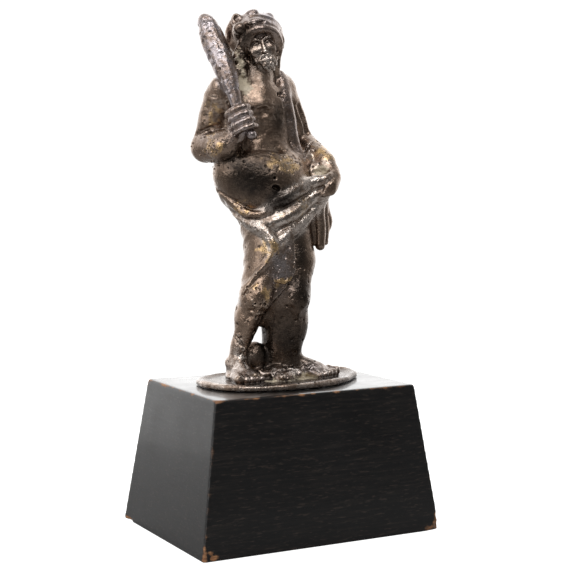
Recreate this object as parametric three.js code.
// Small bronze statuette of a bearded man with a club and a lion-skin hood,
// cast in one with its thin oval foot plate, standing on a black wooden plinth.
// Millimetres, +Z up, the figure faces -Y and its right hand is on the -X side.
import * as THREE from 'three';

// Driving dimensions of the plinth
const PLINTH_BOTTOM = [75, 56];
const PLINTH_TOP = [63, 46.5];
const PLINTH_HEIGHT = 42;
const PLINTH_EDGE = 0.7;
const PLINTH_CORNER = 1.0;

// Driving dimensions of the foot plate
const SEAT_GAP = 0.3;
const PLATE_UNDERSIDE = PLINTH_HEIGHT + SEAT_GAP;
const PLATE_THICK = 1.1;
const PLATE_TOP = PLATE_UNDERSIDE + PLATE_THICK;
const PLATE_HALF = [25.6, 16.6];
const PLATE_CENTRE = [-0.3, -0.6];
const PLATE_TURN = 7;

// Driving dimensions of the figure
const CHEST = [-4.2, 8.2, 117];
const HIP_AXIS = [-1.5, 4.5];
const HEAD = [-2.9, 7.6, 139.4];
const CLOTH = 0.75;

// Fineness of the sculpting grid and of the finished skin
const GRID = 0.62;
const ROOM = { lo: [-30, -22, 40.9], hi: [29, 22, 151] };
const TRIANGLES = 9000;

// Top and bottom hem of the mantle: angle round the hips (0 front, + figure's left), height
const TOP_HEM = [
  [-180, 99.5], [-140, 100], [-112, 99], [-92, 95.2], [-76, 92.6], [-53, 91], [-25, 91],
  [-5, 92], [15, 96.5], [40, 100], [75, 101], [120, 100], [180, 99.5],
];
const LOW_HEM = [
  [-180, 66], [-140, 63.5], [-112, 64.5], [-84, 65.5], [-63, 67.5], [-47, 72.2], [-27, 76.6],
  [-12, 80], [0, 80.5], [22, 84], [45, 92], [70, 92], [110, 84], [150, 74], [180, 66],
];

// Small vector and turning helpers
const STRAIGHT = new THREE.Quaternion();

function turn(x, y, z, degrees) {
  const axis = new THREE.Vector3(x, y, z).normalize();
  return new THREE.Quaternion().setFromAxisAngle(axis, THREE.MathUtils.degToRad(degrees));
}

function turns(...list) {
  return list.reduce((all, one) => all.clone().multiply(one), STRAIGHT);
}

function axes(x, y, z) {
  const m = new THREE.Matrix4().makeBasis(x, y, z);
  return new THREE.Quaternion().setFromRotationMatrix(m);
}

// A turn whose local z runs along the given direction
function along(x, y, z) {
  const dir = new THREE.Vector3(x, y, z).normalize();
  const side = new THREE.Vector3(0, 0, 1).cross(dir).normalize();
  return axes(side, dir.clone().cross(side), dir);
}

// A place and a turn; at() gives the room coordinates of a local point
class Frame {
  constructor(origin, turned) {
    this.origin = new THREE.Vector3(...origin);
    this.turned = turned;
  }

  at(x, y, z) {
    return new THREE.Vector3(x, y, z).applyQuaternion(this.turned).add(this.origin).toArray();
  }
}

// An ellipsoid as a distance function with its reach
function egg(centre, radii, turned = STRAIGHT) {
  const m = new THREE.Matrix4().makeRotationFromQuaternion(turned).elements;
  const [cx, cy, cz] = centre;
  const [a, b, c] = radii;
  const reach = [0, 1, 2].map((i) => Math.hypot(m[i] * a, m[4 + i] * b, m[8 + i] * c));
  const far = (x, y, z) => {
    const dx = x - cx;
    const dy = y - cy;
    const dz = z - cz;
    const u = (dx * m[0] + dy * m[1] + dz * m[2]) / a;
    const v = (dx * m[4] + dy * m[5] + dz * m[6]) / b;
    const w = (dx * m[8] + dy * m[9] + dz * m[10]) / c;
    const k0 = Math.sqrt(u * u + v * v + w * w);
    const k1 = Math.sqrt((u / a) ** 2 + (v / b) ** 2 + (w / c) ** 2);
    return (k0 * (k0 - 1)) / Math.max(k1, 1e-9);
  };
  return { far, lo: centre.map((q, i) => q - reach[i]), hi: centre.map((q, i) => q + reach[i]) };
}

// A cone with round ends between two points
function cone(a, b, ra, rb) {
  const [ax, ay, az] = a;
  const bx = b[0] - ax;
  const by = b[1] - ay;
  const bz = b[2] - az;
  const l2 = bx * bx + by * by + bz * bz;
  const rr = ra - rb;
  const a2 = l2 - rr * rr;
  const far = (x, y, z) => {
    const px = x - ax;
    const py = y - ay;
    const pz = z - az;
    const t = px * bx + py * by + pz * bz;
    const s = t - l2;
    const x2 = (px * l2 - t * bx) ** 2 + (py * l2 - t * by) ** 2 + (pz * l2 - t * bz) ** 2;
    const y2 = t * t * l2;
    const z2 = s * s * l2;
    const k = Math.sign(rr) * rr * rr * x2;
    if (Math.sign(s) * a2 * z2 > k) return Math.sqrt(x2 + z2) / l2 - rb;
    if (Math.sign(t) * a2 * y2 < k) return Math.sqrt(x2 + y2) / l2 - ra;
    return (Math.sqrt((x2 * a2) / l2) + t * rr) / l2 - ra;
  };
  return {
    far,
    lo: a.map((q, i) => Math.min(q - ra, b[i] - rb)),
    hi: a.map((q, i) => Math.max(q + ra, b[i] + rb)),
  };
}

// Soft union of two distances, and its opposite
function soft(a, b, k) {
  const h = Math.max(k - Math.abs(a - b), 0) / k;
  return Math.min(a, b) - h * h * k * 0.25;
}

function hard(a, b, k) {
  return -soft(-a, -b, k);
}

// A smooth curve through rows of numbers
function spline(rows, steps) {
  const first = rows[0].map((v, i) => 2 * v - rows[1][i]);
  const end = rows.length - 1;
  const last = rows[end].map((v, i) => 2 * v - rows[end - 1][i]);
  const p = [first, ...rows, last];
  const out = [];
  for (let i = 1; i < p.length - 2; i += 1) {
    for (let s = 0; s < steps; s += 1) {
      const t = s / steps;
      out.push(p[i].map((b, j) => {
        const a = p[i - 1][j];
        const c = p[i + 1][j];
        const d = p[i + 2][j];
        const bend = (2 * a - 5 * b + 4 * c - d) * t * t + (3 * b - a - 3 * c + d) * t ** 3;
        return 0.5 * (2 * b + (c - a) * t + bend);
      }));
    }
  }
  out.push(rows[end]);
  return out;
}

// A block of distances that shapes are added to or cut from
class Clay {
  constructor() {
    this.n = ROOM.hi.map((v, i) => Math.ceil((v - ROOM.lo[i]) / GRID) + 1);
    this.d = new Float32Array(this.n[0] * this.n[1] * this.n[2]).fill(9);
  }

  // Calls change(value, x, y, z) for each grid point of a box
  each(lo, hi, margin, change) {
    const from = lo.map((v, i) => Math.max(0, Math.floor((v - margin - ROOM.lo[i]) / GRID)));
    const to = hi.map((v, i) => Math.min(this.n[i], Math.ceil((v + margin - ROOM.lo[i]) / GRID) + 1));
    for (let k = from[2]; k < to[2]; k += 1) {
      for (let j = from[1]; j < to[1]; j += 1) {
        for (let i = from[0]; i < to[0]; i += 1) {
          const at = i + this.n[0] * (j + this.n[1] * k);
          const x = ROOM.lo[0] + i * GRID;
          const y = ROOM.lo[1] + j * GRID;
          const z = ROOM.lo[2] + k * GRID;
          this.d[at] = change(this.d[at], x, y, z, at);
        }
      }
    }
  }

  add(shape, k = 1, margin = 3.2) {
    this.each(shape.lo, shape.hi, margin, (d, x, y, z) => soft(d, shape.far(x, y, z), k));
  }

  cut(shape, k = 0.5) {
    this.each(shape.lo, shape.hi, k, (d, x, y, z) => hard(d, -shape.far(x, y, z), k));
  }

  // A rope: rows of x, y, z, radius joined sharply, then blended in once
  rope(rows, k = 0.8, cutting = false) {
    const q = spline(rows, 4);
    const parts = [];
    for (let i = 1; i < q.length; i += 1) {
      const [a, b] = [q[i - 1], q[i]];
      parts.push(cone(a.slice(0, 3), b.slice(0, 3), Math.max(a[3], 0.05), Math.max(b[3], 0.05)));
    }
    const near = new Map();
    for (const part of parts) {
      this.each(part.lo, part.hi, 1.6, (d, x, y, z, at) => {
        const far = part.far(x, y, z);
        if (!(near.get(at) <= far)) near.set(at, far);
        return d;
      });
    }
    for (const [at, far] of near) {
      this.d[at] = cutting ? hard(this.d[at], -far, k) : soft(this.d[at], far, k);
    }
  }
}

// Rows of x, y, z, radius given in a limb's own directions
function rowsIn(place, ...points) {
  return points.map(([x, y, z, r]) => [...place.at(x, y, z), r]);
}

// Fold of the hide that hangs over the left shoulder and down the side of the chest
const HIDE = [
  [4, 7.2, 131, 1.2], [3.9, 5.4, 127.5, 1.7], [4, 4.3, 124.5, 1.9], [4.5, 3.9, 121.5, 1.9],
  [5.4, 4.2, 118, 2], [6.4, 4.8, 114.5, 1.9], [7.4, 4.9, 111, 1.8], [8.4, 4.2, 108, 1.7],
  [9.6, 2.8, 105.2, 1.6],
];

function torso(clay) {
  const chest = new Frame(CHEST, turn(0, 0, 1, -8));
  clay.add(egg(chest.at(0.3, 0.3, -1), [10.8, 7.4, 11.5], chest.turned), 1);
  // belly, its front and the hips, leaning over the standing leg
  clay.add(egg([-1.9, 6.8, 101.5], [15.4, 10.2, 10.6], turn(0, 1, 0, 6)), 4);
  clay.add(egg([-0.6, 4, 99.5], [10.5, 9.4, 8.5], turn(0, 0, 1, -8)), 3);
  clay.add(egg([-0.4, 6.2, 94.5], [11.9, 9.4, 7.4], turn(0, 1, 0, 20)), 3);
  for (const s of [-1, 1]) {
    const pec = turns(chest.turned, turn(0, 0, 1, s * -14), turn(1, 0, 0, 8));
    clay.add(egg(chest.at(s * 4.2 - 0.8, -4.6, 3.8), [4.7 - s * 0.7, 1.7, 4.5], pec), 2.2);
    clay.add(egg(chest.at(s * 8.2, 2.2, -2), [3.2, 5, 7.5], chest.turned), 2);
    clay.add(egg(chest.at(s * 5, 5.6, 1), [4.4, 2.6, 7], chest.turned), 1.5);
    clay.add(egg([0.6 + s * 4.8, 9.8, 91.5 - s * 1.2], [5.2, 5, 5.8]), 2);
  }
  // neck and the slopes to the shoulders
  clay.add(cone([-3.2, 8.8, 124], [-2.9, 8.2, 135], 4.6, 4.3), 2.5);
  clay.add(cone([-3, 9.4, 130.5], [-12.5, 9.2, 127.5], 3, 2.8), 2);
  clay.add(cone([-3, 9.4, 130.5], [4.5, 9.2, 128.8], 3, 2.8), 2);
  // full upper chest up to the beard, and the shoulder behind the club
  clay.add(cone([-4.6, 4.6, 121], [-3, 8, 131.5], 5.4, 4.4), 2.5);
  clay.add(egg([-11, 8, 126], [4.2, 4, 3.8]), 2);
  clay.add(egg([-15.4, 6.2, 127.2], [2.8, 2.6, 2.6]), 1.5);
  clay.rope(HIDE, 1.3);
  // breastbone furrow, navel and the torn hollow under it
  clay.rope(rowsIn(chest, [0.4, -7.8, 3, 0.2], [0.2, -8.2, 0, 0.35], [0, -8.2, -3, 0.2]), 2.4, true);
  clay.cut(egg([-3.9, -5.2, 101], [0.6, 1.6, 0.6]), 0.4);
  clay.cut(egg([-3.5, -5.2, 98.2], [1.2, 2.4, 0.8], turn(0, 1, 0, 12)), 0.5);
  // furrow of the spine
  clay.rope([[-3.2, 17.2, 128, 0.7], [-3.6, 16.6, 118, 1], [-2.6, 17.2, 108, 1], [-1.2, 17.4, 99, 0.8]],
    1.8, true);
  clay.rope([[-0.4, 15.8, 95, 0.5], [0.2, 15.4, 90, 0.7], [0.6, 13.6, 86.5, 0.5]], 1.2, true);
}

function arms(clay) {
  // right arm, the forearm folded up to the club
  clay.add(egg([-13.7, 8, 124.7], [4.9, 5, 5.1]), 2);
  clay.add(cone([-15, 9.2, 123], [-16.6, 13.4, 111.5], 4.2, 3.9), 1.5);
  clay.add(egg([-15.5, 10.9, 118], [4.1, 4.3, 5.8], turn(1, 0, 0, 18)), 1.2);
  clay.add(cone([-17.1, 12.6, 109.8], [-15.2, 5, 109.9], 4.6, 4.6), 0.6);
  clay.add(cone([-15.2, 5, 109.9], [-13.6, 0.8, 112.6], 4.5, 2.8), 1.2);
  clay.add(egg([-18.4, 16.6, 109.6], [1.5, 1.4, 1.8]), 0.8);
  // left arm, the hand brought back to the hip
  clay.add(egg([5.6, 9.2, 126.4], [4.3, 4.7, 4.6]), 2);
  clay.add(cone([7.6, 10.2, 124], [13.6, 11.6, 112.3], 3.9, 3.2), 1.2);
  clay.add(egg([10.2, 11.3, 118.2], [3.6, 4.1, 5.4], along(6, 1.2, -12)), 1);
  clay.add(cone([13.8, 11.2, 111.8], [16, 1.4, 105.6], 3.3, 3), 1);
  clay.add(egg([15.4, 13.8, 111.2], [1.4, 1.3, 1.6]), 0.8);
  // web of metal between the hanging forearm and the waist
  clay.add(egg([11.5, 5, 105.5], [2.2, 3, 3]), 1);
}

function foot(clay, heel, ahead, side) {
  const dir = new THREE.Vector3(ahead[0], ahead[1], 0).normalize();
  const across = dir.clone().cross(new THREE.Vector3(0, 0, 1));
  const sole = new Frame([...heel, PLATE_TOP], axes(across, dir, new THREE.Vector3(0, 0, 1)));
  clay.add(egg(sole.at(0, 1, 2), [2.7, 3, 2.4], sole.turned), 1.2);
  clay.add(cone(sole.at(0, 2.2, 4.2), sole.at(0, 10, 1.5), 2.6, 1.7), 1.5);
  clay.add(egg(sole.at(0, 9.6, 1.3), [4, 3.4, 1.6], sole.turned), 1.2);
  const toeLength = [4.6, 4.5, 4, 3.3, 2.4];
  const toeRadius = [1.15, 0.9, 0.85, 0.8, 0.75];
  for (let i = 0; i < 5; i += 1) {
    const r = toeRadius[i];
    const out = -side * (2.9 - i * 1.5 - (i > 0 ? 0.25 : 0));
    const root = sole.at(out * 0.95, 9.8, 1.4);
    const tip = sole.at(out * 1.15, 9.8 + toeLength[i], r * 0.95);
    clay.add(cone(root, tip, r * 1.1, r), 0.35);
  }
}

function legs(clay) {
  clay.add(cone([-2.6, 3.8, 88], [-2.5, 1.2, 78.5], 6, 5.3), 2);
  clay.add(cone([-2.5, 1.2, 78.5], [-8, -1, 67.5], 5.3, 4.4), 2);
  clay.add(cone([5.6, 3.8, 88], [6.3, 1.8, 77], 6.1, 5.4), 2);
  clay.add(cone([6.3, 1.8, 77], [4.4, -0.6, 67.5], 5.5, 4.6), 2);
  clay.add(egg([-8.3, -1.5, 67], [4.3, 3.9, 5.2]), 2);
  clay.add(egg([4.1, -1.3, 67], [4.3, 4, 5.6]), 2);
  clay.add(cone([-8.6, -1, 65.5], [-11.6, 2.6, 52], 4, 2.5), 1.2);
  clay.add(cone([4.1, -0.8, 65.5], [4.4, 0.9, 51.5], 4.2, 2.6), 1.5);
  const calf = turns(turn(1, 0, 0, -12), turn(0, 1, 0, 12));
  clay.add(egg([-9.7, 1.6, 61.8], [3.6, 3.9, 5.4], calf), 1.2);
  clay.add(egg([5.6, 1.5, 60.2], [4.2, 4.2, 7.6], turn(1, 0, 0, -8)), 2);
  clay.add(cone([-11.6, 2.6, 53], [-11.9, 3.2, 47.5], 2.45, 2.8), 1);
  clay.add(cone([4.4, 1, 52], [4.4, 1.4, 47.5], 2.6, 2.8), 1);
  foot(clay, [-11.9, 5.6], [-1.6, -14], -1);
  foot(clay, [3.7, 3.3], [9.4, -10.2], 1);
}

// Height of a hem at an angle, smoothly between its rows
function hemHeight(hem, angle) {
  let i = 0;
  while (i < hem.length - 2 && hem[i + 1][0] < angle) i += 1;
  const t = (angle - hem[i][0]) / (hem[i + 1][0] - hem[i][0]);
  const before = hem[i === 0 ? hem.length - 2 : i - 1][1];
  const after = hem[i + 2 >= hem.length ? 1 : i + 2][1];
  const b = hem[i][1];
  const c = hem[i + 1][1];
  const bend = (2 * before - 5 * b + 4 * c - after) * t * t;
  return 0.5 * (2 * b + (c - before) * t + bend + (3 * b - before - 3 * c + after) * t ** 3);
}

// The mantle: a skin round hips and thighs between two hems
function mantle(clay) {
  const under = new Clay();
  under.add(egg([-1.4, 6.8, 100.5], [14.4, 10.4, 11], turn(0, 1, 0, 6)), 0.1, 6);
  under.add(egg([-0.3, 6.6, 94.5], [11.7, 9.7, 7.6], turn(0, 1, 0, 20)), 3, 6);
  under.add(cone([-2.4, 4.6, 88.5], [-2.6, 1.8, 78.5], 6.3, 5.6), 3, 6);
  under.add(cone([-2.6, 1.8, 78.5], [-8, -0.4, 65], 5.6, 4.2), 2.5, 6);
  under.add(cone([5.2, 4.6, 88.5], [5.8, 2.4, 77], 6.4, 5.7), 5, 6);
  under.add(cone([5.8, 2.4, 77], [3.6, 1.2, 66], 5.7, 5.2), 4, 6);
  clay.each([-24, -12, 58], [22, 22, 108], 0, (d, x, y, z, at) => {
    const angle = THREE.MathUtils.radToDeg(Math.atan2(x - HIP_AXIS[0], HIP_AXIS[1] - y));
    let cloth = under.d[at] - CLOTH;
    cloth = hard(cloth, z - hemHeight(TOP_HEM, angle), 0.8);
    cloth = hard(cloth, hemHeight(LOW_HEM, angle) - z, 0.7);
    return soft(d, cloth, 0.5);
  });
}

// Rolls and ridges of the mantle: x, y, z, radius down the middle of each
const FOLDS = [
  // thin rim of the sagging top edge
  [[-14.4, 8.4, 97.2, 0.6], [-13.4, 7, 95.7, 0.9], [-12.6, 5.6, 94.2, 1.1], [-11.8, 4.1, 92.8, 1.2],
    [-10.9, 2.7, 91.7, 1.2], [-9.8, 1.4, 90.8, 1.2], [-8.2, 0, 90.4, 1.2], [-6.4, -1.2, 90.6, 1.1],
    [-4.3, -2.3, 91.9, 0.9]],
  // upper roll, from the front up to the left hand
  [[-7.2, 0.6, 90.8, 0.5], [-5.2, -1.2, 92.4, 1.2], [-3.3, -2.8, 93.7, 1.7], [-0.5, -3.9, 95.4, 2.2],
    [3.5, -3.8, 97.6, 2.3], [7.6, -3.2, 99.2, 2.1], [11.4, -3.9, 100.2, 1.9], [14.8, -3.4, 100.4, 1.6]],
  // middle roll
  [[-6.7, -0.2, 88.4, 0.8], [-5, -1.6, 88, 1.7], [-2.7, -2.1, 88.4, 2.2], [0.7, -2.7, 89.9, 2.3],
    [4.2, -3, 91.8, 2.2], [8.4, -2, 94.6, 2.1], [12, -2.6, 97, 2.1], [15.8, -2, 100, 1.9]],
  // bright ridge from the right hip to the crotch
  [[-11, 7, 90.4, 0.5], [-10.6, 4.4, 89.4, 0.8], [-8.9, 1.6, 87.9, 1.2], [-7, -0.8, 86.8, 1.6],
    [-5.2, -2.5, 84.9, 1.7], [-4.3, -3.8, 82.5, 1.6], [-4.2, -4.4, 80.6, 1.1]],
  // lower roll
  [[-4.3, -4.1, 80.4, 1.1], [-1.9, -3.5, 82.8, 1.7], [1, -2.9, 84.8, 2], [4.9, -1.8, 86.7, 2],
    [7.6, -1.2, 88.8, 1.9], [10.8, -0.5, 91.4, 1.7], [13, -1, 94.2, 1.9], [14.8, -1.2, 97.2, 1.9]],
  // hem across the right thigh
  [[-4.2, -4.6, 80, 0.7], [-6.3, -4.1, 76.8, 0.7], [-8.6, -3.6, 74.3, 0.65], [-10.4, -2.9, 72.1, 0.5],
    [-11.5, -1.2, 69.6, 0.4], [-11.8, 1, 68.4, 0.3]],
];

// Groove along the thigh, just below the hem
const HEM_GROOVE = [
  [-4.4, -5.8, 78.9, 0.3], [-6.4, -5.2, 75.6, 0.45], [-8.7, -4.8, 73, 0.45], [-10.8, -3.9, 70.8, 0.4],
  [-12.5, -2.2, 67.8, 0.3],
];

// Corners (x, z), clockwise, of the loose end between the legs and of the layer behind it
const FLAP = {
  corners: [[-5.4, 79.4], [-0.8, 82.6], [2.3, 85.4], [2.3, 74.4], [1.1, 72.2], [-1, 70.6], [-4.4, 71.6]],
  face: -5,
  back: -2,
};
const LAYER = {
  corners: [[-6.5, 79], [1.9, 83], [1.9, 73], [0.4, 70.4], [-1.8, 68], [-4.2, 65.2], [-6.5, 67.5]],
  face: -3.6,
  back: -0.5,
};
// How far a sheet comes forward for each millimetre to its left, and goes back upwards
const SHEET_LEAN = [-0.24, 0.1];
const SHEET_EDGE = 0.35;

// A leaning sheet between two values of y
function slab({ corners, face, back }) {
  const middle = [0, 1].map((i) => corners.reduce((sum, c) => sum + c[i], 0) / corners.length);
  const edges = corners.map(([x0, z0], i) => {
    const [x1, z1] = corners[(i + 1) % corners.length];
    const length = Math.hypot(z0 - z1, x1 - x0);
    const [nx, nz] = [(z0 - z1) / length, (x1 - x0) / length];
    return [nx, nz, nx * x0 + nz * z0];
  });
  const far = (x, y, z) => {
    const front = face + SHEET_LEAN[0] * (x - middle[0]) + SHEET_LEAN[1] * (z - middle[1]);
    let d = Math.max(front - y, y - back);
    for (const [nx, nz, level] of edges) d = hard(d, nx * x + nz * z - level, SHEET_EDGE);
    return d;
  };
  const [xs, zs] = [0, 1].map((i) => corners.map((c) => c[i]));
  return {
    far,
    lo: [Math.min(...xs), face - 2, Math.min(...zs)],
    hi: [Math.max(...xs), back, Math.max(...zs)],
  };
}

// Pleats of the end hanging from the left hand: x, y, radius, lowest point, sideways bow
const TAIL = [
  [11.6, 0.8, 1.3, 82.2, 0], [13.3, -0.4, 1.6, 81.2, 0.2], [15.7, 1, 1.2, 82.2, 0.2],
  [16.4, 1.9, 1.4, 85.4, 0.9], [16.3, 4.1, 1.5, 87.4, 0.6], [13.6, 6.4, 1.6, 84, 0.1],
  [11.2, 7.6, 1.5, 82, 0.1],
];

function drapery(clay) {
  for (const rows of FOLDS) clay.rope(rows, 0.7);
  clay.rope(HEM_GROOVE, 0.6, true);
  clay.add(slab(LAYER), 0.8);
  clay.add(slab(FLAP), 0.3);
  // cloth bunched behind the left hand, and the hanging end
  clay.add(egg([13.8, 2.4, 101.2], [3.4, 3, 4.6]), 1);
  for (const [x, y, r, low, bow] of TAIL) {
    clay.rope([
      [14.6, -0.8 + 0.4 * y, 97, 1.5], [x * 0.98, y, 92, r],
      [x + bow, y + 0.3, (91 + low) / 2, r * 1.05], [x, y, low, r * 0.9],
    ], 0.4);
  }
}

function leftHand(clay) {
  clay.add(cone([16, 0.6, 104.8], [16.5, -1.6, 102], 2.7, 2.5), 0.8);
  clay.add(egg([15.8, -3.2, 100.2], [2.4, 2.3, 3.2], turn(0, 1, 0, 24)), 0.7);
  for (let i = 0; i < 4; i += 1) {
    const a = i * 1.15;
    clay.rope([
      [16.8 - 0.25 * a, -3.6 - 0.2 * a, 101.4 - a, 0.95],
      [15.2 - 0.3 * a, -5.3, 100 - a * 0.95, 0.95],
      [13.2 - 0.3 * a, -5.6 + 0.2 * a, 98.9 - a * 0.8, 0.85],
    ], 0.6);
  }
  clay.rope([[15.6, -2.6, 102.4, 1.1], [13.9, -4.6, 101.6, 1], [12.2, -5.4, 100.8, 0.9]], 0.7);
  // dark hole between wrist, belly and cloth
  clay.cut(egg([11.8, -2.4, 102.6], [2.5, 3, 1.15], turn(0, 1, 0, -8)), 0.5);
}

const CLUB = [
  [-18.5, 10, 145.4, 2.2], [-18, 9.1, 143.6, 3.1], [-17, 7.4, 139.2, 3.55], [-16.1, 5.3, 135, 3.45],
  [-15.1, 2.6, 129.8, 3], [-14.3, 0.1, 123.9, 1.9], [-13.6, -1.3, 119.6, 1.45],
  [-12, -2.9, 115.7, 1.3], [-11, -3.8, 113.2, 1.2],
];

function clubAndRightHand(clay) {
  clay.rope(CLUB, 0.6);
  clay.add(egg([-10.8, -4, 112.9], [1.4, 1.4, 1.4]), 0.5);
  // fist: local z up the club, local x to the figure's left, local y into the palm
  const up = new THREE.Vector3(-3, 3.9, 10.6).normalize();
  const out = new THREE.Vector3(-0.47, -0.88, 0.08);
  const palm = out.addScaledVector(up, -out.dot(up)).normalize().negate();
  const fist = new Frame([-12.7, -2.1, 117.2], axes(palm.clone().cross(up), palm, up));
  clay.add(egg(fist.at(-2, 2.2, -0.6), [3, 2.6, 4], fist.turned), 1);
  clay.add(cone([-13.4, 1, 113], fist.at(-1.6, 2.2, -1.5), 2.6, 2.6), 1);
  for (let i = 0; i < 4; i += 1) {
    const z = 2.9 - i * 1.95;
    const r = 1.08 - 0.05 * i;
    clay.rope(rowsIn(fist, [-3, 1.8, z - 0.3, r], [-3.3, -0.4, z - 0.1, r], [-1.9, -2.3, z, r],
      [0.5, -2.7, z, r], [2.5, -1.2, z - 0.1, r * 0.95], [2.6, 0.8, z - 0.2, r * 0.85]), 0.3);
  }
  clay.rope(rowsIn(fist, [-1, 2.6, 1, 1.3], [1.4, 2.4, 2.6, 1.25], [2.6, 1.3, 3.5, 1.1]), 0.5);
}

// The head: local x to the figure's left, local -y out of the face, tilted over the right shoulder
const HEAD_TURN = turns(turn(0, 0, 1, -14), turn(0, 1, 0, -14), turn(1, 0, 0, 4));
const head = new Frame(HEAD, HEAD_TURN);

function lump(clay, at, radii, k = 0.6) {
  clay.add(egg(head.at(...at), radii, HEAD_TURN), k);
}

function dent(clay, at, radii, k = 0.5) {
  clay.cut(egg(head.at(...at), radii, HEAD_TURN), k);
}

function faceAndBeard(clay) {
  lump(clay, [0, 1, 1.6], [4.9, 6, 5.4], 1);
  lump(clay, [0, -1.6, -1.6], [4.1, 4, 4.9], 1);
  lump(clay, [0, -2, -4.2], [3.2, 3.2, 2.2], 1);
  clay.add(cone(head.at(0, -5.3, 0.6), head.at(0, -6.5, -2.1), 0.6, 0.75), 0.5);
  for (const s of [-1, 1]) {
    dent(clay, [s * 1.75, -5.5, 0.1], [1.15, 0.9, 0.8], 0.6);
    lump(clay, [s * 2.4, -4.1, -1.9], [1.7, 1.4, 1.7], 1);
    clay.rope(rowsIn(head, [s * 0.7, -5.4, 1.2, 0.5], [s * 1.9, -5.3, 1.6, 0.55],
      [s * 3.2, -4.3, 1.1, 0.45]), 0.5);
    // moustache
    clay.rope(rowsIn(head, [s * 0.3, -6.1, -3.15, 0.5], [s * 1.4, -5.8, -3.6, 0.55],
      [s * 2.5, -4.7, -5.1, 0.4]), 0.4);
  }
  // beard: a round mass with locks
  lump(clay, [0, -3.7, -5.4], [3.3, 2.9, 2.6], 1.2);
  for (let i = 0; i < 7; i += 1) {
    const a = THREE.MathUtils.degToRad(-75 + i * 25);
    const top = head.at(3 * Math.sin(a), -3.5 - 2.5 * Math.cos(a), -4.8);
    const low = head.at(2.1 * Math.sin(a), -3.6 - 2.3 * Math.cos(a), -6.8);
    clay.add(cone(top, low, 0.95, 0.8), 0.35);
  }
}

// Rolled edge of the hood, two bands of skin behind it, and the locks beside the face
const BRIM = [
  [-6.1, -2.4, -2.4, 0.8], [-5.9, -4, 1, 1.1], [-4.2, -5, 3.1, 1.2], [-2.3, -5.8, 4.2, 1.25],
  [0, -6.3, 4.3, 1.25], [2.3, -6, 3.7, 1.2], [4.4, -4.8, 2.1, 1.15], [5.4, -3.6, -0.1, 1.1],
  [5.4, -2.8, -2.4, 1], [4.4, -2.6, -4.5, 0.8],
];
const BANDS = [
  [[-3.4, -5.2, 6.7, 0.7], [-0.4, -5.4, 6.6, 0.8], [2.5, -4.8, 5.4, 0.9], [5.1, -3.2, 3.2, 0.9],
    [6.7, -1.6, 0.2, 0.9], [6.6, -0.6, -2.4, 0.7]],
  [[-1.3, -3.4, 8.2, 0.6], [2.1, -3.2, 7.3, 0.8], [5.1, -2.2, 5.7, 0.8], [7, -0.6, 3.1, 0.8],
    [7.6, 0.6, 0.3, 0.6]],
];
const FLANK = [
  [-5.4, 0.2, 7.4, 1.4], [-6.4, 0.4, 6, 1.6], [-7.1, 1, 4.2, 1.7], [-7, 0.8, 2.2, 1.7],
  [-6.2, 0, -0.4, 1.7], [-5.7, -0.4, -3, 1.6], [-5.2, 0, -6, 1.5],
];
const STRAND = [
  [4.8, -2.2, -4.2, 0.8], [3.7, -2, -7.2, 0.9], [3.2, -1, -9.5, 1], [3.5, 0, -12.5, 0.8],
  [4.2, 0.8, -15, 0.3],
];
const NECK_LOCKS = [
  [-10, 5.4, 137, 1.4], [-10.5, 5.8, 134.2, 1.8], [-10.2, 6.4, 131.4, 2], [-9.4, 7, 128.6, 2],
];
// Rings that the long locks run through: half width, half depth, height, radius of a lock
const MANE_RINGS = [
  [6.9, 7, 3, 0.7], [7, 7.2, 0.4, 0.8], [6.2, 7, -2.2, 0.85], [4.7, 6.2, -5.4, 0.8],
  [3.7, 5.6, -8, 0.7], [3.6, 5.4, -10, 0.45],
];
const LOCKS = 10;

function hood(clay) {
  const skin = new Clay();
  skin.add(egg(head.at(0, 1.4, 1.9), [7.9, 8, 7.2], HEAD_TURN), 1);
  skin.add(egg(head.at(-0.8, 3.4, -5.5), [5, 4.8, 6.5], HEAD_TURN), 2);
  skin.cut(egg(head.at(0, -7, -3.2), [4.6, 6.2, 6.2], HEAD_TURN), 0.8);
  clay.each([-14, -6, 120], [10, 22, 151], 0, (d, x, y, z, at) => soft(d, skin.d[at], 0.4));
  // brow of the lion over the rolled brim
  lump(clay, [-1.6, -3.1, 5.9], [4.2, 3, 2.2], 1);
  lump(clay, [-4.6, -3, 4.6], [2.8, 3, 3], 1);
  clay.rope(rowsIn(head, ...BRIM), 0.4);
  for (const band of BANDS) clay.rope(rowsIn(head, ...band), 0.3);
  // eye, ears and muzzle of the lion
  lump(clay, [-5.4, -5.1, 5.6], [1.9, 1.9, 1.9], 0.25);
  lump(clay, [-5, -1.8, 7.6], [1.7, 1.3, 2.4], 0.5);
  dent(clay, [-5.3, -2.9, 8.6], [0.8, 0.8, 0.9], 0.4);
  lump(clay, [0.2, -0.5, 8.9], [1.9, 1.6, 1.2], 0.4);
  lump(clay, [4.6, 0, 6.8], [1.7, 1.4, 1.3], 0.6);
  lump(clay, [-2, -6.3, 6.3], [1.1, 0.75, 0.75], 0.3);
}

function mane(clay) {
  clay.rope(rowsIn(head, ...FLANK), 0.6);
  clay.rope(rowsIn(head, ...STRAND), 0.5);
  clay.rope(NECK_LOCKS, 0.8);
  // long locks down the neck
  for (let i = 0; i < LOCKS; i += 1) {
    const a = THREE.MathUtils.degToRad(-100 + (i * 225) / LOCKS);
    const line = MANE_RINGS.map(([wide, deep, z, w]) => [
      (wide + 0.3) * Math.sin(a), 2 + (deep + 0.3) * Math.cos(a), z, w * 1.05,
    ]);
    clay.rope(rowsIn(head, ...line), 0.3);
  }
}

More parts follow.
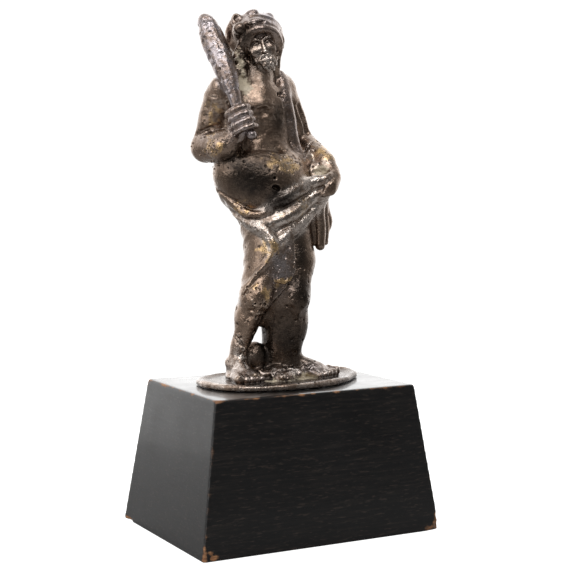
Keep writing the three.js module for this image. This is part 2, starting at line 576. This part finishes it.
const STUMP = [
  [-0.4, 4.6, 43.6, 4.8], [-0.2, 4.8, 48, 4], [0, 4.4, 54, 3.9], [0, 3.6, 61, 4.1],
  [0.4, 2.8, 68, 3.7], [0.6, 2.4, 75, 3],
];
const ROCKS = [
  [[-2.2, -7.2, 44], [3.4, 2.4, 2.1]], [[1.6, -5.6, 44.3], [2.8, 2.2, 2.2]],
  [[-1, -1.5, 44.4], [3.8, 4, 2.6]], [[4, -3, 44], [2.6, 3, 2]],
  [[-5.5, 1.5, 44.2], [2.4, 3.4, 2.2]], [[1, 8, 44.2], [6, 3.4, 2.4]],
];

function stumpAndRocks(clay) {
  clay.rope(STUMP, 3.4);
  clay.add(egg([2, 1.2, 58], [4.6, 3.2, 14]), 3);
  clay.add(egg([1.4, 0.4, 68], [4.6, 3.4, 8]), 3);
  // web of metal above the hole between calf and stump, and the root below it
  clay.add(egg([-4.6, 2.4, 63.2], [2.8, 2.4, 5.2]), 1.6);
  clay.add(egg([-5.8, 4.2, 48.6], [3.7, 3.2, 5]), 1.2);
  for (const [centre, radii] of ROCKS) clay.add(egg(centre, radii), 0.8);
}

// The thin, slightly uneven oval plate with a low raised rim
function footPlate(clay) {
  const c = Math.cos(THREE.MathUtils.degToRad(PLATE_TURN));
  const s = Math.sin(THREE.MathUtils.degToRad(PLATE_TURN));
  clay.each([-29, -21, PLATE_UNDERSIDE], [29, 21, PLATE_TOP + 1], 2, (d, x, y, z) => {
    const u = ((x - PLATE_CENTRE[0]) * c + (y - PLATE_CENTRE[1]) * s) / PLATE_HALF[0];
    const v = ((y - PLATE_CENTRE[1]) * c - (x - PLATE_CENTRE[0]) * s) / PLATE_HALF[1];
    const a = Math.atan2(v, u);
    const wobble = 1 + 0.025 * Math.sin(3 * a + 0.6) + 0.02 * Math.sin(5 * a + 2);
    const rho = Math.hypot(u, v) / wobble;
    const rim = 0.45 * Math.exp(-(((rho - 0.96) / 0.06) ** 2));
    const body = hard((rho - 1) * 19, z - (PLATE_TOP + rim), 0.5);
    return soft(d, hard(body, PLATE_UNDERSIDE - z, 0.05), 0.5);
  });
  // flat underside
  clay.each(ROOM.lo, [29, 22, PLATE_UNDERSIDE], 2, (d, x, y, z) => Math.max(d, PLATE_UNDERSIDE - z));
}

// Skin of the clay: each grid cube is split into six tetrahedra round its long diagonal
const WAYS = [[1, 3], [1, 5], [2, 3], [2, 6], [4, 5], [4, 6]];

function skinOf(clay) {
  const [nx, ny, nz] = clay.n;
  const { d } = clay;
  const step = [0, 1, nx, nx + 1, nx * ny, nx * ny + 1, nx * ny + nx, nx * ny + nx + 1];
  const points = [];
  const faces = [];
  const made = new Map();
  const total = d.length;
  const place = (i) => [i % nx, Math.floor(i / nx) % ny, Math.floor(i / (nx * ny))];
  const between = (a, b) => {
    const key = a < b ? a * total + b : b * total + a;
    if (made.has(key)) return made.get(key);
    const t = Math.min(0.97, Math.max(0.03, d[a] / (d[a] - d[b])));
    const p = place(a);
    const q = place(b);
    points.push(p.map((v, i) => ROOM.lo[i] + GRID * (v + t * (q[i] - v))));
    made.set(key, points.length - 1);
    return points.length - 1;
  };
  const tetra = (c, odd) => {
    const inside = c.filter((i) => d[i] < 0);
    const outside = c.filter((i) => d[i] >= 0);
    if (inside.length === 0 || outside.length === 0) return;
    const flip = (list) => (parity(c, [...inside, ...outside]) === odd ? list : list.slice().reverse());
    if (inside.length === 1) {
      faces.push(flip(outside.map((o) => between(inside[0], o))));
    } else if (inside.length === 3) {
      faces.push(flip(inside.map((i) => between(i, outside[0]))));
    } else {
      const [a, b] = inside;
      const [e, f] = outside;
      const quad = [between(a, e), between(a, f), between(b, f), between(b, e)];
      faces.push(flip([quad[0], quad[1], quad[2]]));
      faces.push(flip([quad[0], quad[2], quad[3]]));
    }
  };
  for (let k = 0; k < nz - 1; k += 1) {
    for (let j = 0; j < ny - 1; j += 1) {
      for (let i = 0; i < nx - 1; i += 1) {
        const at = i + nx * (j + ny * k);
        const corner = step.map((s) => at + s);
        const within = corner.filter((c) => d[c] < 0).length;
        if (within > 0 && within < 8) {
          WAYS.forEach(([p, q], way) => {
            tetra([corner[0], corner[p], corner[q], corner[7]], way === 1 || way === 2 || way === 5);
          });
        }
      }
    }
  }
  return { points, faces };
}

// Whether the second order of four things is an odd shuffle of the first
function parity(first, second) {
  const order = second.map((v) => first.indexOf(v));
  let odd = false;
  for (let i = 0; i < order.length; i += 1) {
    for (let j = i + 1; j < order.length; j += 1) {
      if (order[i] > order[j]) odd = !odd;
    }
  }
  return odd;
}

// The largest connected skin only
function largestShell({ points, faces }) {
  const parent = points.map((_, i) => i);
  const root = (i) => {
    let r = i;
    while (parent[r] !== r) {
      parent[r] = parent[parent[r]];
      r = parent[r];
    }
    return r;
  };
  for (const [a, b, c] of faces) {
    parent[root(a)] = root(b);
    parent[root(b)] = root(c);
  }
  const count = new Map();
  for (const [a] of faces) count.set(root(a), (count.get(root(a)) ?? 0) + 1);
  const [main] = [...count.entries()].sort((p, q) => q[1] - p[1])[0];
  return { points, faces: faces.filter(([a]) => root(a) === main) };
}

// A heap of edges, cheapest first
class Heap {
  constructor() {
    this.list = [];
  }

  push(item) {
    const { list } = this;
    list.push(item);
    let i = list.length - 1;
    while (i > 0) {
      const up = (i - 1) >> 1;
      if (list[up].cost <= list[i].cost) break;
      [list[up], list[i]] = [list[i], list[up]];
      i = up;
    }
  }

  pop() {
    const { list } = this;
    const top = list[0];
    const last = list.pop();
    if (list.length > 0) {
      list[0] = last;
      let i = 0;
      for (;;) {
        const l = 2 * i + 1;
        let best = i;
        if (l < list.length && list[l].cost < list[best].cost) best = l;
        if (l + 1 < list.length && list[l + 1].cost < list[best].cost) best = l + 1;
        if (best === i) break;
        [list[best], list[i]] = [list[i], list[best]];
        i = best;
      }
    }
    return top;
  }
}

function faceNormal(a, b, c) {
  const ux = b[0] - a[0];
  const uy = b[1] - a[1];
  const uz = b[2] - a[2];
  const vx = c[0] - a[0];
  const vy = c[1] - a[1];
  const vz = c[2] - a[2];
  return [uy * vz - uz * vy, uz * vx - ux * vz, ux * vy - uy * vx];
}

// Thins the skin by joining the edge that moves the surface least, until few triangles are left
function thinned({ points, faces }, target) {
  const tri = faces.map((f) => f.slice());
  const pos = points.map((p) => p.slice());
  const ring = points.map(() => []);
  const sum = points.map(() => new Float64Array(10));
  tri.forEach((f, i) => {
    const n = faceNormal(pos[f[0]], pos[f[1]], pos[f[2]]);
    const size = Math.hypot(...n) || 1e-12;
    const [x, y, z] = n.map((v) => v / size);
    const w = -(x * pos[f[0]][0] + y * pos[f[0]][1] + z * pos[f[0]][2]);
    const q = [x * x, x * y, x * z, x * w, y * y, y * z, y * w, z * z, z * w, w * w];
    for (const v of f) {
      ring[v].push(i);
      for (let j = 0; j < 10; j += 1) sum[v][j] += q[j] * size;
    }
  });
  const age = new Int32Array(points.length);
  const gone = new Uint8Array(points.length);
  const dead = new Uint8Array(tri.length);
  const error = (q, x, y, z) => (
    q[0] * x * x + 2 * q[1] * x * y + 2 * q[2] * x * z + 2 * q[3] * x
    + q[4] * y * y + 2 * q[5] * y * z + 2 * q[6] * y + q[7] * z * z + 2 * q[8] * z + q[9]
  );
  const q = new Float64Array(10);
  const joint = (u, v) => {
    for (let j = 0; j < 10; j += 1) q[j] = sum[u][j] + sum[v][j];
    const [a, b] = [pos[u], pos[v]];
    const mid = [(a[0] + b[0]) / 2, (a[1] + b[1]) / 2, (a[2] + b[2]) / 2];
    const length = Math.hypot(a[0] - b[0], a[1] - b[1], a[2] - b[2]);
    const c0 = q[4] * q[7] - q[5] * q[5];
    const c1 = q[2] * q[5] - q[1] * q[7];
    const c2 = q[1] * q[5] - q[2] * q[4];
    const det = q[0] * c0 + q[1] * c1 + q[2] * c2;
    let best = mid;
    let cost = error(q, ...mid);
    for (const p of [a, b]) {
      const e = error(q, ...p);
      if (e < cost) {
        cost = e;
        best = p;
      }
    }
    if (Math.abs(det) > 1e-7) {
      const c4 = q[0] * q[7] - q[2] * q[2];
      const c5 = q[1] * q[2] - q[0] * q[5];
      const c7 = q[0] * q[4] - q[1] * q[1];
      const x = -(c0 * q[3] + c1 * q[6] + c2 * q[8]) / det;
      const y = -(c1 * q[3] + c4 * q[6] + c5 * q[8]) / det;
      const z = -(c2 * q[3] + c5 * q[6] + c7 * q[8]) / det;
      const e = error(q, x, y, z);
      if (e < cost && Math.hypot(x - mid[0], y - mid[1], z - mid[2]) < length) {
        cost = e;
        best = [x, y, z];
      }
    }
    return { cost: Math.max(cost, 0) + 1e-4 * length * length, best };
  };
  let heap = new Heap();
  const offer = (u, v) => {
    heap.push({ cost: joint(u, v).cost, u, v, stamp: age[u] + age[v] });
  };
  const around = (v) => {
    const list = new Set();
    for (const f of ring[v]) {
      for (const w of tri[f]) if (w !== v) list.add(w);
    }
    return list;
  };
  const shape = (a, b, c, size) => {
    const longest = Math.max(...[[a, b], [b, c], [c, a]].map(([m, n]) => (
      (m[0] - n[0]) ** 2 + (m[1] - n[1]) ** 2 + (m[2] - n[2]) ** 2)));
    return size / longest;
  };
  const folds = (v, other, p) => ring[v].some((f) => {
    const t = tri[f];
    if (t.includes(other)) return false;
    const was = t.map((w) => pos[w]);
    const moved = t.map((w) => (w === v ? p : pos[w]));
    const before = faceNormal(...was);
    const after = faceNormal(...moved);
    const sizeWas = Math.hypot(...before);
    const size = Math.hypot(...after);
    const dot = before[0] * after[0] + before[1] * after[1] + before[2] * after[2];
    const fit = shape(...moved, size);
    if (fit < 0.02 && fit < shape(...was, sizeWas)) return true;
    return sizeWas > 1e-4 && dot < 0.3 * sizeWas * size;
  });
  let left = tri.length;
  const collapse = (u, v) => {
    const shared = [...around(u)].filter((w) => around(v).has(w));
    if (shared.length !== 2 || shared.some((w) => ring[w].length < 4)) return;
    const { best } = joint(u, v);
    if (folds(u, v, best) || folds(v, u, best)) return;
    for (let j = 0; j < 10; j += 1) sum[u][j] += sum[v][j];
    for (const f of ring[v]) {
      if (tri[f].includes(u)) {
        dead[f] = 1;
        left -= 1;
        for (const w of tri[f]) if (w !== v) ring[w] = ring[w].filter((g) => g !== f);
      } else {
        tri[f] = tri[f].map((w) => (w === v ? u : w));
        ring[u].push(f);
      }
    }
    gone[v] = 1;
    pos[u] = best.slice();
    age[u] += 1 + age[v];
    for (const w of around(u)) offer(u, w);
  };
  // an edge that could not go at first is tried again in a later round
  for (let round = 0; round < 12 && left > target; round += 1) {
    heap = new Heap();
    tri.forEach((f, i) => {
      if (dead[i]) return;
      for (let j = 0; j < 3; j += 1) if (f[j] < f[(j + 1) % 3]) offer(f[j], f[(j + 1) % 3]);
    });
    while (left > target && heap.list.length > 0) {
      const { u, v, stamp } = heap.pop();
      if (!gone[u] && !gone[v] && stamp === age[u] + age[v]) collapse(u, v);
    }
  }
  return { points: pos, faces: tri.filter((_, i) => !dead[i]) };
}

function toGeometry({ points, faces }) {
  const number = new Map();
  const position = [];
  const index = faces.flat().map((v) => {
    if (!number.has(v)) {
      number.set(v, position.length / 3);
      position.push(...points[v]);
    }
    return number.get(v);
  });
  const geometry = new THREE.BufferGeometry();
  geometry.setAttribute('position', new THREE.Float32BufferAttribute(position, 3));
  geometry.setIndex(index);
  geometry.computeVertexNormals();
  return geometry;
}

// Tapered block with rounded upright corners and slightly broken edges
function plinthGeometry() {
  const points = [];
  const faces = [];
  const perCorner = 4;
  const halfAt = (z) => {
    const t = z / PLINTH_HEIGHT;
    return PLINTH_BOTTOM.map((v, i) => (v + (PLINTH_TOP[i] - v) * t) / 2);
  };
  const ringAt = (z, inset) => {
    const [a, b] = halfAt(z).map((v) => v - inset);
    const r = Math.max(PLINTH_CORNER - inset, 0.3);
    for (let c = 0; c < 4; c += 1) {
      for (let s = 0; s <= perCorner; s += 1) {
        const angle = (c + s / perCorner) * (Math.PI / 2);
        const sx = c === 0 || c === 3 ? 1 : -1;
        const sy = c < 2 ? 1 : -1;
        points.push([sx * (a - r) + r * Math.cos(angle), sy * (b - r) + r * Math.sin(angle), z]);
      }
    }
  };
  const e = PLINTH_EDGE;
  const h = PLINTH_HEIGHT;
  const levels = [[0, e], [e * 0.3, e * 0.3], [e, 0], [h - e, 0], [h - e * 0.3, e * 0.3], [h, e]];
  for (const [z, inset] of levels) ringAt(z, inset);
  const n = 4 * (perCorner + 1);
  for (let l = 0; l < levels.length - 1; l += 1) {
    for (let i = 0; i < n; i += 1) {
      const j = (i + 1) % n;
      const [a, b] = [l * n, (l + 1) * n];
      faces.push([a + i, a + j, b + j], [a + i, b + j, b + i]);
    }
  }
  const last = (levels.length - 1) * n;
  for (let i = 1; i < n - 1; i += 1) {
    faces.push([0, i + 1, i], [last, last + i, last + i + 1]);
  }
  return toGeometry({ points, faces });
}

function figureGeometry() {
  const clay = new Clay();
  torso(clay);
  legs(clay);
  arms(clay);
  mantle(clay);
  drapery(clay);
  leftHand(clay);
  stumpAndRocks(clay);
  faceAndBeard(clay);
  hood(clay);
  mane(clay);
  clubAndRightHand(clay);
  footPlate(clay);
  return toGeometry(thinned(largestShell(skinOf(clay)), TRIANGLES));
}

const bronze = new THREE.MeshStandardMaterial({ color: 0x4a3a2c, roughness: 0.38, metalness: 0.9 });
const blackWood = new THREE.MeshStandardMaterial({ color: 0x17130f, roughness: 0.45, metalness: 0 });

const figure = new THREE.Mesh(figureGeometry(), bronze);
figure.name = 'bronze_figure';
const plinth = new THREE.Mesh(plinthGeometry(), blackWood);
plinth.name = 'wooden_plinth';

const statuette = new THREE.Group();
statuette.name = 'statuette';
statuette.add(figure, plinth);

export default statuette;
